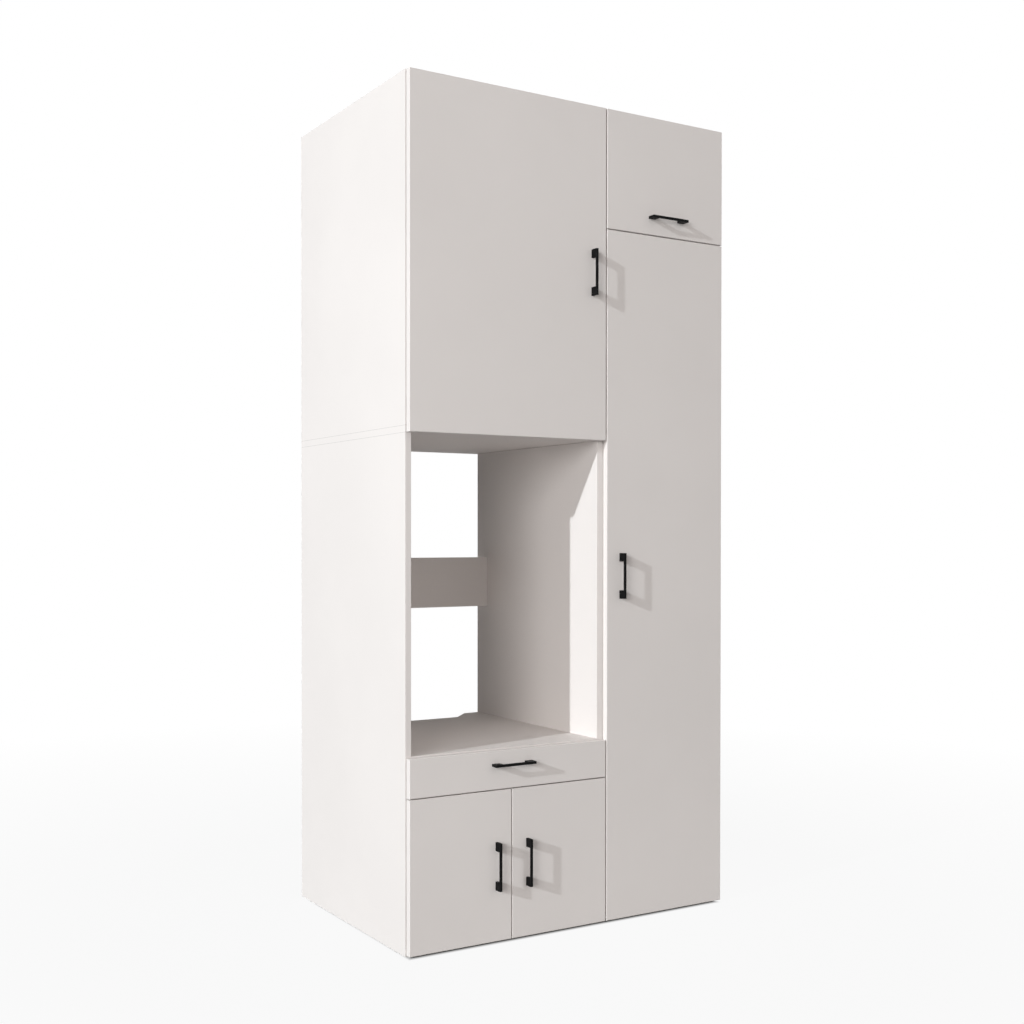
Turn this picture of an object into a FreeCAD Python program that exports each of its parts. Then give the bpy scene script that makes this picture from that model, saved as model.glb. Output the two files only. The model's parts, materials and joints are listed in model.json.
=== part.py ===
"""Washing machine cabinet: a laundry column with a raised machine niche beside a tall cupboard.

Lengths are millimetres. Expressions below are written in a corner frame: x from the left outer face,
y from the front face of the doors towards the wall, z from the floor. place() shifts them so that the
origin of the model is the middle of its bounding box, on the floor.
"""
import FreeCAD
import Part
import os
import re
import Sketcher
from FreeCAD import Placement, Rotation, Vector

# Driving dimensions: alias, value, meaning
SIZES = [
    ("left_width", 650, "laundry column, outside"),
    ("right_width", 440, "tall column, outside"),
    ("carcass_height", 2350, "side boards, from their feet to the top"),
    ("carcass_depth", 670, "outer side boards, front to rear"),
    ("scribe_margin", 16, "outer sides run this far past the inner boards at the rear"),
    ("board", 18, "carcass board thickness"),
    ("board_edge_radius", 0.8, "rounded front edge of a carcass board"),
    ("back_thickness", 3, "back panels"),
    ("front_thickness", 18, "doors, flap and drawer front"),
    ("front_standoff", 3, "air between a front and the carcass"),
    ("front_reveal", 2, "fronts stop short of the column's outline"),
    ("front_gap", 3, "gap between fronts of one column"),
    ("bottom_reveal", 4, "lowest fronts start above the foot of the sides"),
    ("front_edge_radius", 1.5, "outer edges of a front"),
    ("front_back_radius", 1, "inner edges of a front"),
    ("lower_door_height", 415, "pair of doors under the drawer"),
    ("drawer_front_height", 106, "drawer front"),
    ("tall_door_height", 1997, "tall door under the flap"),
    ("niche_height", 862, "clear height for the machine"),
    ("cutout_width", 376, "hose cut-out in the niche floor, front edge"),
    ("cutout_depth", 68, "hose cut-out, from the rear edge of the floor"),
    ("rail_sill", 358, "niche floor to the lower edge of the rail"),
    ("rail_height", 160, "rail across the niche"),
    ("rail_setback", 44, "rail to the rear edge of the inner boards"),
    ("glide_height", 4, "glides under the side boards"),
    ("glide_radius", 8, "glide disc"),
    ("glide_margin", 1, "glide disc to the outer face of its column"),
    ("glide_inset", 60, "glide to the end of its board"),
    ("nail_radius", 1.5, "nail of a glide"),
    ("nail_length", 12, "nail of a glide"),
    ("shelf_side_gap", 0.5, "shelf to side board"),
    ("shelf_setback", 20, "shelf front behind the carcass front"),
    ("shelf_pin_radius", 2.5, "shelf pins"),
    ("shelf_pin_length", 18, "shelf pins"),
    ("shelf_pin_depth", 10, "shelf pin in its board"),
    ("shelf_pin_inset", 60, "shelf pin to the shelf's front or rear edge"),
    ("fit_clearance", 0.05, "radial play of pins, bolts and cups in their bores"),
    ("cam_radius", 7.5, "cam locks"),
    ("cam_height", 13, "cam locks"),
    ("cam_inset", 34, "cam axis to the board's end"),
    ("cam_edge_inset", 90, "cam axis to the board's long edge"),
    ("bolt_radius", 3, "cam bolts"),
    ("bolt_depth", 11, "cam bolt in the side board"),
    ("dowel_radius", 4, "dowels through the niche ceiling"),
    ("dowel_depth", 16, "dowel in the side boards"),
    ("connector_radius", 4, "connectors between the two columns"),
    ("connector_head_radius", 7, "connector heads"),
    ("connector_head_height", 2, "connector heads, let into the boards"),
    ("connector_inset", 120, "connector behind the carcass front"),
    ("handle_length", 132, "bridge handles"),
    ("handle_width", 7.5, "bridge handles"),
    ("handle_post", 24, "post of a handle, along its length"),
    ("handle_bar", 4.5, "bar of a handle, front to back"),
    ("handle_projection", 24, "handle in front of its door"),
    ("handle_edge_radius", 1, "front edges of a handle"),
    ("handle_inset", 49, "upright handle to the door's closing edge"),
    ("drawer_handle_drop", 38, "drawer handle under the front's top edge"),
    ("flap_handle_rise", 50, "flap handle over the flap's lower edge"),
    ("handle_screw_radius", 2, "handle screws"),
    ("handle_screw_grip", 12, "handle screw inside its post"),
    ("screw_head_radius", 4, "handle screw heads"),
    ("screw_head_height", 2.2, "handle screw heads"),
    ("hinge_inset", 80, "outer hinges to the ends of their door"),
    ("cup_radius", 17.5, "hinge cup"),
    ("cup_depth", 13.5, "hinge cup in the door"),
    ("cup_rim", 4, "door edge to the cup's bore"),
    ("cup_wall", 0.8, "hinge cup sheet"),
    ("cup_flange_length", 62, "flange along the door's edge"),
    ("cup_flange_width", 20, "flange across"),
    ("cup_flange_thickness", 1, "flange on the door's back"),
    ("cheek_length", 6, "cheeks that hold the pin in the cup"),
    ("pivot_inset", 4, "hinge axis inside the edge of the cup's bore"),
    ("eye_clearance", 0.2, "arm to the bottom of the cup"),
    ("pin_radius", 1.25, "hinge pin"),
    ("pin_length", 17, "hinge pin"),
    ("arm_width", 10, "hinge arm along the axis"),
    ("arm_thickness", 2.2, "hinge arm strip"),
    ("eye_wall", 0.85, "rolled eye of the hinge arm"),
    ("arm_length", 54, "arm behind the carcass front"),
    ("arm_side_play", 0.3, "arm to the cheeks"),
    ("plate_width", 18, "mounting plate along the axis"),
    ("plate_thickness", 4, "mounting plate under the arm"),
    ("plate_start", 6, "mounting plate behind the carcass front"),
    ("plate_setback", 37, "plate screws behind the carcass front"),
    ("plate_screw_spacing", 32, "plate screws"),
    ("wing_margin", 6, "wing past its screw"),
    ("wing_thickness", 2.5, "wings of the plate"),
    ("plate_screw_radius", 1.75, "plate screws"),
    ("plate_screw_length", 14, "plate screws under the head"),
    ("plate_head_radius", 3.5, "plate screw heads"),
    ("plate_head_height", 1.8, "plate screw heads"),
    ("runner_space", 13, "drawer side to cabinet side"),
    ("runner_height", 45, "cabinet runner"),
    ("runner_wall", 1.5, "runner sheet"),
    ("runner_play", 0.5, "between runner members"),
    ("runner_lip", 2, "runner behind the carcass front"),
    ("drawer_board", 12, "drawer sides and back"),
    ("drawer_lift", 10, "drawer sides over the front's lower edge"),
    ("drawer_headroom", 6, "drawer sides under the niche floor"),
    ("drawer_room", 71, "air behind the drawer"),
    ("drawer_sheet", 4, "drawer bottom"),
]

# Places that follow from the driving dimensions
PLACES = {
    "total_width": "left_width + right_width",
    "carcass_front": "front_thickness + front_standoff",
    "outer_rear": "carcass_front + carcass_depth",
    "inner_rear": "outer_rear - scribe_margin",
    "carcass_top": "glide_height + carcass_height",
    "fronts_bottom": "glide_height + bottom_reveal",
    "fronts_top": "carcass_top - front_reveal",
    "left_start": "front_reveal",
    "left_stop": "left_width - front_reveal",
    "middle_stop": "left_width / 2 - front_gap / 2",
    "middle_start": "left_width / 2 + front_gap / 2",
    "right_start": "left_width + front_reveal",
    "right_stop": "total_width - front_reveal",
    "lower_door_top": "fronts_bottom + lower_door_height",
    "drawer_front_bottom": "lower_door_top + front_gap",
    "drawer_front_top": "drawer_front_bottom + drawer_front_height",
    "floor_top": "drawer_front_top + front_gap",
    "floor_under": "floor_top - board",
    "ceiling_under": "floor_top + niche_height",
    "ceiling_top": "ceiling_under + board",
    "tall_door_top": "fronts_bottom + tall_door_height",
    "flap_bottom": "tall_door_top + front_gap",
    "flap_floor_under": "tall_door_top + front_gap / 2 - board / 2",
    "niche_left": "board",
    "niche_right": "left_width - board",
    "tall_left": "left_width + board",
    "tall_right": "total_width - board",
    "base_back_rear": "inner_rear - cutout_depth",
    "rail_rear": "inner_rear - rail_setback",
    "rail_bottom": "floor_top + rail_sill",
    "panel_face": "board - front_reveal",
    "leg_face": "panel_face + plate_thickness",
    "cup_center": "cup_rim + cup_radius",
    "cup_floor": "front_thickness - cup_depth",
    "eye_radius": "pin_radius + eye_wall",
    "pivot_in": "cup_rim + pivot_inset",
    "pivot_deep": "cup_floor + cup_wall + eye_clearance + eye_radius",
    "plate_screw_line": "carcass_front + plate_setback",
    "drawer_bottom_z": "drawer_front_bottom + drawer_lift",
    "drawer_left": "board + runner_space",
    "drawer_right": "left_width - board - runner_space",
    "drawer_top_z": "floor_under - drawer_headroom",
    "drawer_rear": "base_back_rear - board - drawer_room",
    "runner_z": "(drawer_bottom_z + drawer_top_z) / 2",
}

UPPER_SHELF_COUNT = 2
TALL_SHELF_COUNT = 4
UPPER_HINGE_COUNT = 3
TALL_HINGE_COUNT = 4
PAIR_HINGE_COUNT = 2

AS_DRAWN = Rotation()
# Half a turn about y: a right-hand fitting from a left-hand one
TURNED = Rotation(Vector(0, 1, 0), 180)
# A quarter turn about y: x hangs down and z runs along x
HANGING = Rotation(Vector(0, 1, 0), 90)
ALONG_X = HANGING
ALONG_Y = Rotation(Vector(1, 0, 0), -90)
AGAINST_Y = Rotation(Vector(1, 0, 0), 90)

doc = FreeCAD.newDocument("washing_machine_cabinet")
sheet = doc.addObject("Spreadsheet::Sheet", "sizes")
for row, (alias, number, meaning) in enumerate(SIZES, start=1):
    sheet.set(f"A{row}", alias)
    sheet.set(f"B{row}", str(number))
    sheet.set(f"C{row}", meaning)
    sheet.setAlias(f"B{row}", alias)
doc.recompute()

ALIASES = {alias for alias, _, _ in SIZES}
NODES = {}


def bound(text):
    """Turn words of an expression into cells of the sheet, with places written out."""
    def swap(match):
        word = match.group()
        if word in PLACES:
            return "(" + bound(PLACES[word]) + ")"
        return "sizes." + word if word in ALIASES else word
    return re.sub(r"[a-z_]+", swap, text)


def value(text):
    """The number that an expression gives now."""
    return float(sheet.evalExpression(bound(text)))


def size(thing, **texts):
    """Bind properties of a thing to expressions."""
    for name, text in texts.items():
        thing.setExpression(name, bound(text))


def at(thing, x, y, z, turn=AS_DRAWN):
    """Place a thing in its own local frame."""
    thing.Placement = Placement(Vector(), turn)
    for axis, text in zip("xyz", (x, y, z)):
        thing.setExpression(f"Placement.Base.{axis}", bound(text))


def place(thing, x, y, z, turn=AS_DRAWN):
    """Place a thing given in the corner frame."""
    middle_y = "(outer_rear - handle_projection) / 2"
    at(thing, f"{x} - total_width / 2", f"{y} - {middle_y}", z, turn)


def keep(label, thing):
    """Make a thing one of the cabinet's named pieces."""
    thing.Label = label
    NODES[label] = thing
    return thing


def box(name, x, y, z, setter=at):
    """A box between three pairs of expressions."""
    block = doc.addObject("Part::Box", name)
    size(block, Length=f"({x[1]}) - ({x[0]})", Width=f"({y[1]}) - ({y[0]})", Height=f"({z[1]}) - ({z[0]})")
    setter(block, x[0], y[0], z[0])
    return block


def rod(name, radius, length, x, y, z, turn=AS_DRAWN):
    cylinder = doc.addObject("Part::Cylinder", name)
    size(cylinder, Radius=radius, Height=length)
    at(cylinder, x, y, z, turn)
    return cylinder


def union(name, things):
    joined = doc.addObject("Part::MultiFuse", name)
    joined.Shapes = things
    joined.Refine = True
    return joined


def group(name, things):
    bundle = doc.addObject("Part::Compound", name)
    bundle.Links = things
    return bundle


def cut(name, base, tool):
    remainder = doc.addObject("Part::Cut", name)
    remainder.Base = base
    remainder.Tool = tool
    return remainder


def copies(name, master, spots):
    """One bundle of the master at each spot: x, y, z in the corner frame, and a rotation."""
    links = []
    for number, (x, y, z, turn) in enumerate(spots, start=1):
        link = doc.addObject("App::Link", f"{name}_{number}")
        link.LinkedObject = master
        place(link, x, y, z, turn)
        links.append(link)
    return group(name, links)


def rounded(name, block, rules):
    """Round the edges of a block that lie on its front or back face: (face, radius alias) pairs."""
    doc.recompute()
    bounds = block.Shape.BoundBox
    levels = {"front": bounds.YMin, "back": bounds.YMax}
    edges = []
    for number, edge in enumerate(block.Shape.Edges, start=1):
        for face, alias in rules:
            if all(abs(vertex.Y - levels[face]) < 1e-6 for vertex in edge.Vertexes):
                edges.append((number, value(alias), value(alias)))
    soft = doc.addObject("Part::Fillet", name)
    soft.Base = block
    soft.Edges = edges
    return soft


def outline_pad(name, points, height):
    """A PartDesign body: a closed outline of expression pairs, padded upwards."""
    body = doc.addObject("PartDesign::Body", name)
    sketch = body.newObject("Sketcher::SketchObject", name + "_outline")
    plane = next(item for item in body.Origin.OriginFeatures if item.Role == "XY_Plane")
    sketch.AttachmentSupport = [(plane, "")]
    sketch.MapMode = "FlatFace"
    corners = [Vector(value(x), value(y), 0) for x, y in points]
    count = len(corners)
    for number in range(count):
        sketch.addGeometry(Part.LineSegment(corners[number], corners[(number + 1) % count]), False)
    for number in range(count):
        sketch.addConstraint(Sketcher.Constraint("Coincident", number, 2, (number + 1) % count, 1))
    for number, (x, y) in enumerate(points):
        for kind, text in (("DistanceX", x), ("DistanceY", y)):
            driver = sketch.addConstraint(Sketcher.Constraint(kind, -1, 1, number, 1, value(text)))
            sketch.setExpression(f"Constraints[{driver}]", bound(text))
    pad = body.newObject("PartDesign::Pad", name + "_pad")
    pad.Profile = sketch
    size(pad, Length=height)
    doc.recompute()
    return body


def spread(start, stop, count):
    """Expressions of evenly spaced places from start to stop."""
    return [f"{start} + {number} * (({stop}) - ({start})) / {count - 1}" for number in range(count)]


# Hinge masters, drawn at a door's left edge: x from that edge, y from the door's face, z along the axis

def hinge_cup():
    """A pressed cup with a flange on the door's back and two cheeks that carry the pin."""
    shell = rod("cup_shell", "cup_radius", "cup_depth", "cup_center", "cup_floor", "0", ALONG_Y)
    hollow = rod("cup_hollow", "cup_radius - cup_wall", "cup_depth + cup_flange_thickness", "cup_center",
                 "cup_floor + cup_wall", "0", ALONG_Y)
    flange = box("cup_flange", ("cup_center - cup_flange_width / 2", "cup_center + cup_flange_width / 2"),
                 ("front_thickness", "front_thickness + cup_flange_thickness"),
                 ("0 - cup_flange_length / 2", "cup_flange_length / 2"))
    pan = cut("cup_pan", union("cup_outside", [shell, flange]), hollow)
    inner = "arm_width / 2 + arm_side_play"
    along = ("pivot_in - cheek_length / 2", "pivot_in + cheek_length / 2")
    deep = ("cup_floor", "pivot_deep + eye_radius")
    cheeks = [box("upper_cheek_block", along, deep, (inner, "cup_radius")),
              box("lower_cheek_block", along, deep, ("0 - cup_radius", f"0 - ({inner})"))]
    held = doc.addObject("Part::Common", "cup_cheeks")
    held.Base = group("cheek_blocks", cheeks)
    held.Tool = rod("cup_room", "cup_radius", "cup_depth", "cup_center", "cup_floor", "0", ALONG_Y)
    pin_hole = rod("cup_pin_hole", "pin_radius + fit_clearance", "pin_length + fit_clearance", "pivot_in",
                   "pivot_deep", "0 - (pin_length + fit_clearance) / 2")
    return cut("hinge_cup_master", union("cup_with_cheeks", [pan, held]), pin_hole)


def cup_bore():
    tool = rod("cup_bore_tool", "cup_radius + fit_clearance", "cup_depth + cup_flange_thickness",
               "cup_center", "cup_floor", "0", ALONG_Y)
    return group("cup_bore_master", [tool])


def hinge_pin():
    pin = rod("pin_rod", "pin_radius", "pin_length", "pivot_in", "pivot_deep", "0 - pin_length / 2")
    return group("hinge_pin_master", [pin])


def hinge_arm():
    """A strip rolled into an eye round the pin, cranked clear of the door's edge, then straight back."""
    across = ("0 - arm_width / 2", "arm_width / 2")
    strip = ("pivot_deep - eye_radius", "pivot_deep - eye_radius + arm_thickness")
    eye = rod("arm_eye", "eye_radius", "arm_width", "pivot_in", "pivot_deep", "0 - arm_width / 2")
    crank = box("arm_crank_strip", ("pivot_in", "leg_face + arm_thickness"), strip, across)
    leg = box("arm_leg", ("leg_face", "leg_face + arm_thickness"), (strip[0], "carcass_front + arm_length"),
              across)
    pin_hole = rod("arm_pin_hole", "pin_radius + fit_clearance", "arm_width", "pivot_in", "pivot_deep",
                   "0 - arm_width / 2")
    return cut("hinge_arm_master", union("arm_strip", [eye, crank, leg]), pin_hole)


def plate_screw_rods(name, radius):
    """Rods along x under both wings of a mounting plate."""
    rods = []
    for side, z in enumerate(("plate_screw_spacing / 2", "0 - plate_screw_spacing / 2")):
        rods.append(rod(f"{name}_{side}", radius, "plate_screw_length",
                        "panel_face + wing_thickness - plate_screw_length", "plate_screw_line", z, ALONG_X))
    return rods


def mounting_plate():
    """A plate on the carcass board, with a spine under the arm and a wing for each screw."""
    spine = box("plate_spine", ("panel_face", "leg_face"),
                ("carcass_front + plate_start", "carcass_front + arm_length"),
                ("0 - plate_width / 2", "plate_width / 2"))
    wing = "plate_screw_spacing / 2 + wing_margin"
    wings = box("plate_wings", ("panel_face", "panel_face + wing_thickness"),
                ("plate_screw_line - wing_margin", "plate_screw_line + wing_margin"),
                (f"0 - ({wing})", wing))
    holes = group("plate_holes", plate_screw_rods("plate_hole", "plate_screw_radius + fit_clearance"))
    return cut("mounting_plate_master", union("plate_blank", [spine, wings]), holes)


def plate_screws():
    screws = []
    shanks = plate_screw_rods("plate_shank", "plate_screw_radius")
    for side, z in enumerate(("plate_screw_spacing / 2", "0 - plate_screw_spacing / 2")):
        head = rod(f"plate_head_{side}", "plate_head_radius", "plate_head_height",
                   "panel_face + wing_thickness", "plate_screw_line", z, ALONG_X)
        screws.append(union(f"plate_screw_{side}", [shanks[side], head]))
    return group("plate_screw_master", screws)


def plate_bore():
    return group("plate_bore_master", plate_screw_rods("plate_bore", "plate_screw_radius + fit_clearance"))


def heights(bottom, top, count):
    return spread(f"{bottom} + hinge_inset", f"{top} - hinge_inset", count)


# Hinge spots of each front
HINGES = {
    "upper_door": [("left_start", "0", z, AS_DRAWN)
                   for z in heights("ceiling_under", "fronts_top", UPPER_HINGE_COUNT)],
    "lower_left_door": [("left_start", "0", z, AS_DRAWN)
                        for z in heights("fronts_bottom", "lower_door_top", PAIR_HINGE_COUNT)],
    "lower_right_door": [("left_stop", "0", z, TURNED)
                         for z in heights("fronts_bottom", "lower_door_top", PAIR_HINGE_COUNT)],
    "tall_door": [("right_stop", "0", z, TURNED)
                  for z in heights("fronts_bottom", "tall_door_top", TALL_HINGE_COUNT)],
    "flap": [(x, "0", "fronts_top", HANGING)
             for x in heights("right_start", "right_stop", PAIR_HINGE_COUNT)],
}


def handle():
    """A bridge handle lying along x, its bar at y = 0 and its posts' feet at the projection."""
    inside = "handle_length - handle_post"
    body = outline_pad("handle_bridge", [
        ("0", "0"), ("handle_length", "0"), ("handle_length", "handle_projection"),
        (inside, "handle_projection"), (inside, "handle_bar"), ("handle_post", "handle_bar"),
        ("handle_post", "handle_projection"), ("0", "handle_projection")], "handle_width")
    pad = body.Tip
    edges = [f"Edge{number}" for number, edge in enumerate(pad.Shape.Edges, start=1)
             if all(abs(vertex.Y) < 1e-6 for vertex in edge.Vertexes)]
    soft = body.newObject("PartDesign::Fillet", "handle_soft_edges")
    soft.Base = (pad, edges)
    size(soft, Radius="handle_edge_radius")
    bores = handle_rods("handle_bore", "handle_screw_radius + fit_clearance", "handle_screw_grip")
    return cut("handle_master", body, group("handle_bores", bores))


def handle_rods(name, radius, length, start="handle_projection - handle_screw_grip"):
    """Rods along y on the two screw lines of a handle."""
    lines = ("handle_post / 2", "handle_length - handle_post / 2")
    return [rod(f"{name}_{side}", radius, length, x, start, "handle_width / 2", ALONG_Y)
            for side, x in enumerate(lines)]


def handle_screws():
    """The two screws of a handle, from the back of its front."""
    shanks = handle_rods("handle_shank", "handle_screw_radius", "handle_screw_grip + front_thickness")
    heads = handle_rods("handle_head", "screw_head_radius", "screw_head_height",
                        "handle_projection + front_thickness")
    return group("handle_screw_master",
                 [union(f"handle_screw_{side}", pair) for side, pair in enumerate(zip(shanks, heads))])


def handle_bore():
    rods = handle_rods("handle_door_bore", "handle_screw_radius + fit_clearance", "front_thickness",
                       "handle_projection")
    return group("handle_bore_master", rods)


def lying(x, z):
    """Spot of a handle along x, given its middle."""
    return (f"{x} - handle_length / 2", "0 - handle_projection", f"{z} - handle_width / 2", AS_DRAWN)


def standing(x, z):
    """Spot of an upright handle, given its middle."""
    return (f"{x} - handle_width / 2", "0 - handle_projection", f"{z} + handle_length / 2", HANGING)


# Outline of each front in x and z, and the place of its handle
FRONTS = {
    "upper_door": (("left_start", "left_stop"), ("ceiling_under", "fronts_top"),
                   standing("left_stop - handle_inset", "(ceiling_under + fronts_top) / 2")),
    "lower_left_door": (("left_start", "middle_stop"), ("fronts_bottom", "lower_door_top"),
                        standing("middle_stop - handle_inset", "(fronts_bottom + lower_door_top) / 2")),
    "lower_right_door": (("middle_start", "left_stop"), ("fronts_bottom", "lower_door_top"),
                         standing("middle_start + handle_inset", "(fronts_bottom + lower_door_top) / 2")),
    "tall_door": (("right_start", "right_stop"), ("fronts_bottom", "tall_door_top"),
                  standing("right_start + handle_inset", "(fronts_bottom + tall_door_top) / 2")),
    "flap": (("right_start", "right_stop"), ("flap_bottom", "fronts_top"),
             lying("(right_start + right_stop) / 2", "flap_bottom + flap_handle_rise")),
    "drawer_front": (("left_start", "left_stop"), ("drawer_front_bottom", "drawer_front_top"),
                     lying("left_width / 2", "drawer_front_top - drawer_handle_drop")),
}


def build_fronts():
    """Doors, flap and drawer front, each with its handle, handle screws and hinge cups."""
    grip, screws, grip_bore = handle(), handle_screws(), handle_bore()
    cup, cup_hole = hinge_cup(), cup_bore()
    for label, (x, z, spot) in FRONTS.items():
        blank = box(label + "_blank", x, ("0", "front_thickness"), z, place)
        soft = rounded(label + "_soft", blank,
                       [("front", "front_edge_radius"), ("back", "front_back_radius")])
        tools = [copies(label + "_handle_bores", grip_bore, [spot])]
        if label in HINGES:
            tools.append(copies(label + "_cup_bores", cup_hole, HINGES[label]))
            keep(label + "_hinge_cups", copies(label + "_cups", cup, HINGES[label]))
        keep(label, cut(label + "_board", soft, group(label + "_tools", tools)))
        owner = label.replace("_front", "")
        keep(owner + "_handle", copies(owner + "_grip", grip, [spot]))
        keep(owner + "_handle_screws", copies(owner + "_screws", screws, [spot]))


# Carcass boards: x, y and z spans in the corner frame
INNER = ("carcass_front", "inner_rear")
OUTER = ("carcass_front", "outer_rear")
BETWEEN_LEFT = ("niche_left", "niche_right")
BETWEEN_TALL = ("tall_left", "tall_right")
LEFT_BOARD = ("0", "board")
NICHE_BOARD = ("niche_right", "left_width")
TALL_BOARD = ("left_width", "tall_left")
RIGHT_BOARD = ("tall_right", "total_width")
BOARDS = {
    "left_lower_side": (LEFT_BOARD, OUTER, ("glide_height", "ceiling_under")),
    "niche_right_side": (NICHE_BOARD, INNER, ("glide_height", "ceiling_under")),
    "niche_ceiling": (("0", "left_width"), OUTER, ("ceiling_under", "ceiling_top")),
    "left_upper_side": (LEFT_BOARD, OUTER, ("ceiling_top", "carcass_top")),
    "upper_right_side": (NICHE_BOARD, INNER, ("ceiling_top", "carcass_top")),
    "upper_top": (BETWEEN_LEFT, INNER, ("carcass_top - board", "carcass_top")),
    "base_bottom": (BETWEEN_LEFT, ("carcass_front", "base_back_rear - board"),
                    ("glide_height", "glide_height + board")),
    "base_back": (BETWEEN_LEFT, ("base_back_rear - board", "base_back_rear"),
                  ("glide_height", "floor_under")),
    "niche_rail": (BETWEEN_LEFT, ("rail_rear - board", "rail_rear"),
                   ("rail_bottom", "rail_bottom + rail_height")),
    "tall_left_side": (TALL_BOARD, INNER, ("glide_height", "carcass_top")),
    "tall_right_side": (RIGHT_BOARD, OUTER, ("glide_height", "carcass_top")),
    "tall_bottom": (BETWEEN_TALL, INNER, ("glide_height", "glide_height + board")),
    "flap_floor": (BETWEEN_TALL, INNER, ("flap_floor_under", "flap_floor_under + board")),
    "tall_top": (BETWEEN_TALL, INNER, ("carcass_top - board", "carcass_top")),
}
# Boards held by cam locks, with the boards at their left and right ends
LYING_JOINTS = {
    "niche_floor": ("left_lower_side", "niche_right_side"),
    "base_bottom": ("left_lower_side", "niche_right_side"),
    "upper_top": ("left_upper_side", "upper_right_side"),
    "tall_bottom": ("tall_left_side", "tall_right_side"),
    "flap_floor": ("tall_left_side", "tall_right_side"),
    "tall_top": ("tall_left_side", "tall_right_side"),
}
STANDING_JOINTS = {
    "base_back": ("left_lower_side", "niche_right_side"),
    "niche_rail": ("left_lower_side", "niche_right_side"),
}
HINGE_PANELS = {
    "upper_door": "left_upper_side",
    "lower_left_door": "left_lower_side",
    "lower_right_door": "niche_right_side",
    "tall_door": "tall_right_side",
    "flap": "tall_top",
}
BORES = {label: [] for label in [*BOARDS, "niche_floor"]}


def bore(label, master, spots):
    """Note a set of bores for a board, cut when the board is finished."""
    BORES[label].append(copies(f"{label}_bores_{len(BORES[label])}", master, spots))


def niche_floor_blank():
    """The niche floor, with the hose cut-out and its slanting ends at the rear edge."""
    wide, deep = "niche_right - niche_left", "inner_rear - carcass_front"
    middle, shallow = f"({wide}) / 2", f"{deep} - cutout_depth"
    near, far = "cutout_width / 2", "(cutout_width / 2 + cutout_depth)"
    body = outline_pad("niche_floor_board", [
        ("0", "0"), (wide, "0"), (wide, deep), (f"{middle} + {far}", deep), (f"{middle} + {near}", shallow),
        (f"{middle} - {near}", shallow), (f"{middle} - {far}", deep), ("0", deep)], "board")
    place(body, "niche_left", "carcass_front", "floor_under")
    return body


def join_boards():
    """Cam locks and bolts at the ends of the boards between the sides."""
    reach = "cam_inset - cam_radius - fit_clearance + bolt_depth"
    start = "0 - bolt_depth"
    bolt = group("cam_bolt_master", [rod("bolt_rod", "bolt_radius", reach, start, "0", "0", ALONG_X)])
    bolt_bore = group("bolt_bore_master", [rod("bolt_tool", "bolt_radius + fit_clearance",
                                               "cam_inset + bolt_depth", start, "0", "0", ALONG_X)])
    cam = group("cam_master", [rod("cam_disc", "cam_radius", "cam_height", "0", "0", "0")])
    cam_bore = group("cam_bore_master", [rod("cam_tool", "cam_radius + fit_clearance", "cam_height",
                                             "0", "0", "0")])
    bolts, cams = [], []
    for label, panels in {**LYING_JOINTS, **STANDING_JOINTS}.items():
        x, y, z = BOARDS.get(label, (BETWEEN_LEFT, INNER, ("floor_under", "floor_top")))
        if label in LYING_JOINTS:
            middle = f"({z[0]} + {z[1]}) / 2"
            lines = [(f"{y[0]} + cam_edge_inset", middle), (f"{y[1]} - cam_edge_inset", middle)]
            seats = [(line_y, z[0], AS_DRAWN) for line_y, _ in lines]
        else:
            middle = f"({y[0]} + {y[1]}) / 2"
            lines = [(middle, f"{z[0]} + ({z[1]} - ({z[0]})) * {share}") for share in (0.25, 0.75)]
            seats = [(y[1], line_z, AGAINST_Y) for _, line_z in lines]
        left = [(x[0], line_y, line_z, AS_DRAWN) for line_y, line_z in lines]
        right = [(x[1], line_y, line_z, TURNED) for line_y, line_z in lines]
        locks = [(f"{x[0]} + cam_inset", *seat) for seat in seats]
        locks += [(f"{x[1]} - cam_inset", *seat) for seat in seats]
        bore(label, bolt_bore, left + right)
        bore(label, cam_bore, locks)
        bore(panels[0], bolt_bore, left)
        bore(panels[1], bolt_bore, right)
        bolts += left + right
        cams += locks
    keep("cam_bolts", copies("all_cam_bolts", bolt, bolts))
    keep("cam_locks", copies("all_cam_locks", cam, cams))


def dowel_ceiling():
    """Dowels that pass through the niche ceiling into the boards over and under its ends."""
    length = "2 * dowel_depth + board"
    dowel = group("dowel_master", [rod("dowel_rod", "dowel_radius", length, "0", "0", "0 - dowel_depth")])
    tool = group("dowel_bore_master", [rod("dowel_tool", "dowel_radius + fit_clearance", length,
                                           "0", "0", "0 - dowel_depth")])
    lines = ("carcass_front + cam_edge_inset", "inner_rear - cam_edge_inset")
    left = [("board / 2", y, "ceiling_under", AS_DRAWN) for y in lines]
    right = [("left_width - board / 2", y, "ceiling_under", AS_DRAWN) for y in lines]
    for label in ("left_lower_side", "left_upper_side"):
        bore(label, tool, left)
    for label in ("niche_right_side", "upper_right_side"):
        bore(label, tool, right)
    bore("niche_ceiling", tool, left + right)
    keep("ceiling_dowels", copies("all_dowels", dowel, left + right))


def connector_rods(name, play):
    """A shank through both boards and a head in each outer face."""
    far_head = "2 * board - connector_head_height"
    return [rod(name + "_shank", f"connector_radius + {play}", "2 * board", "0", "0", "0", ALONG_X),
            rod(name + "_near_head", f"connector_head_radius + {play}", "connector_head_height",
                "0", "0", "0", ALONG_X),
            rod(name + "_far_head", f"connector_head_radius + {play}", "connector_head_height",
                far_head, "0", "0", ALONG_X)]


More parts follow.
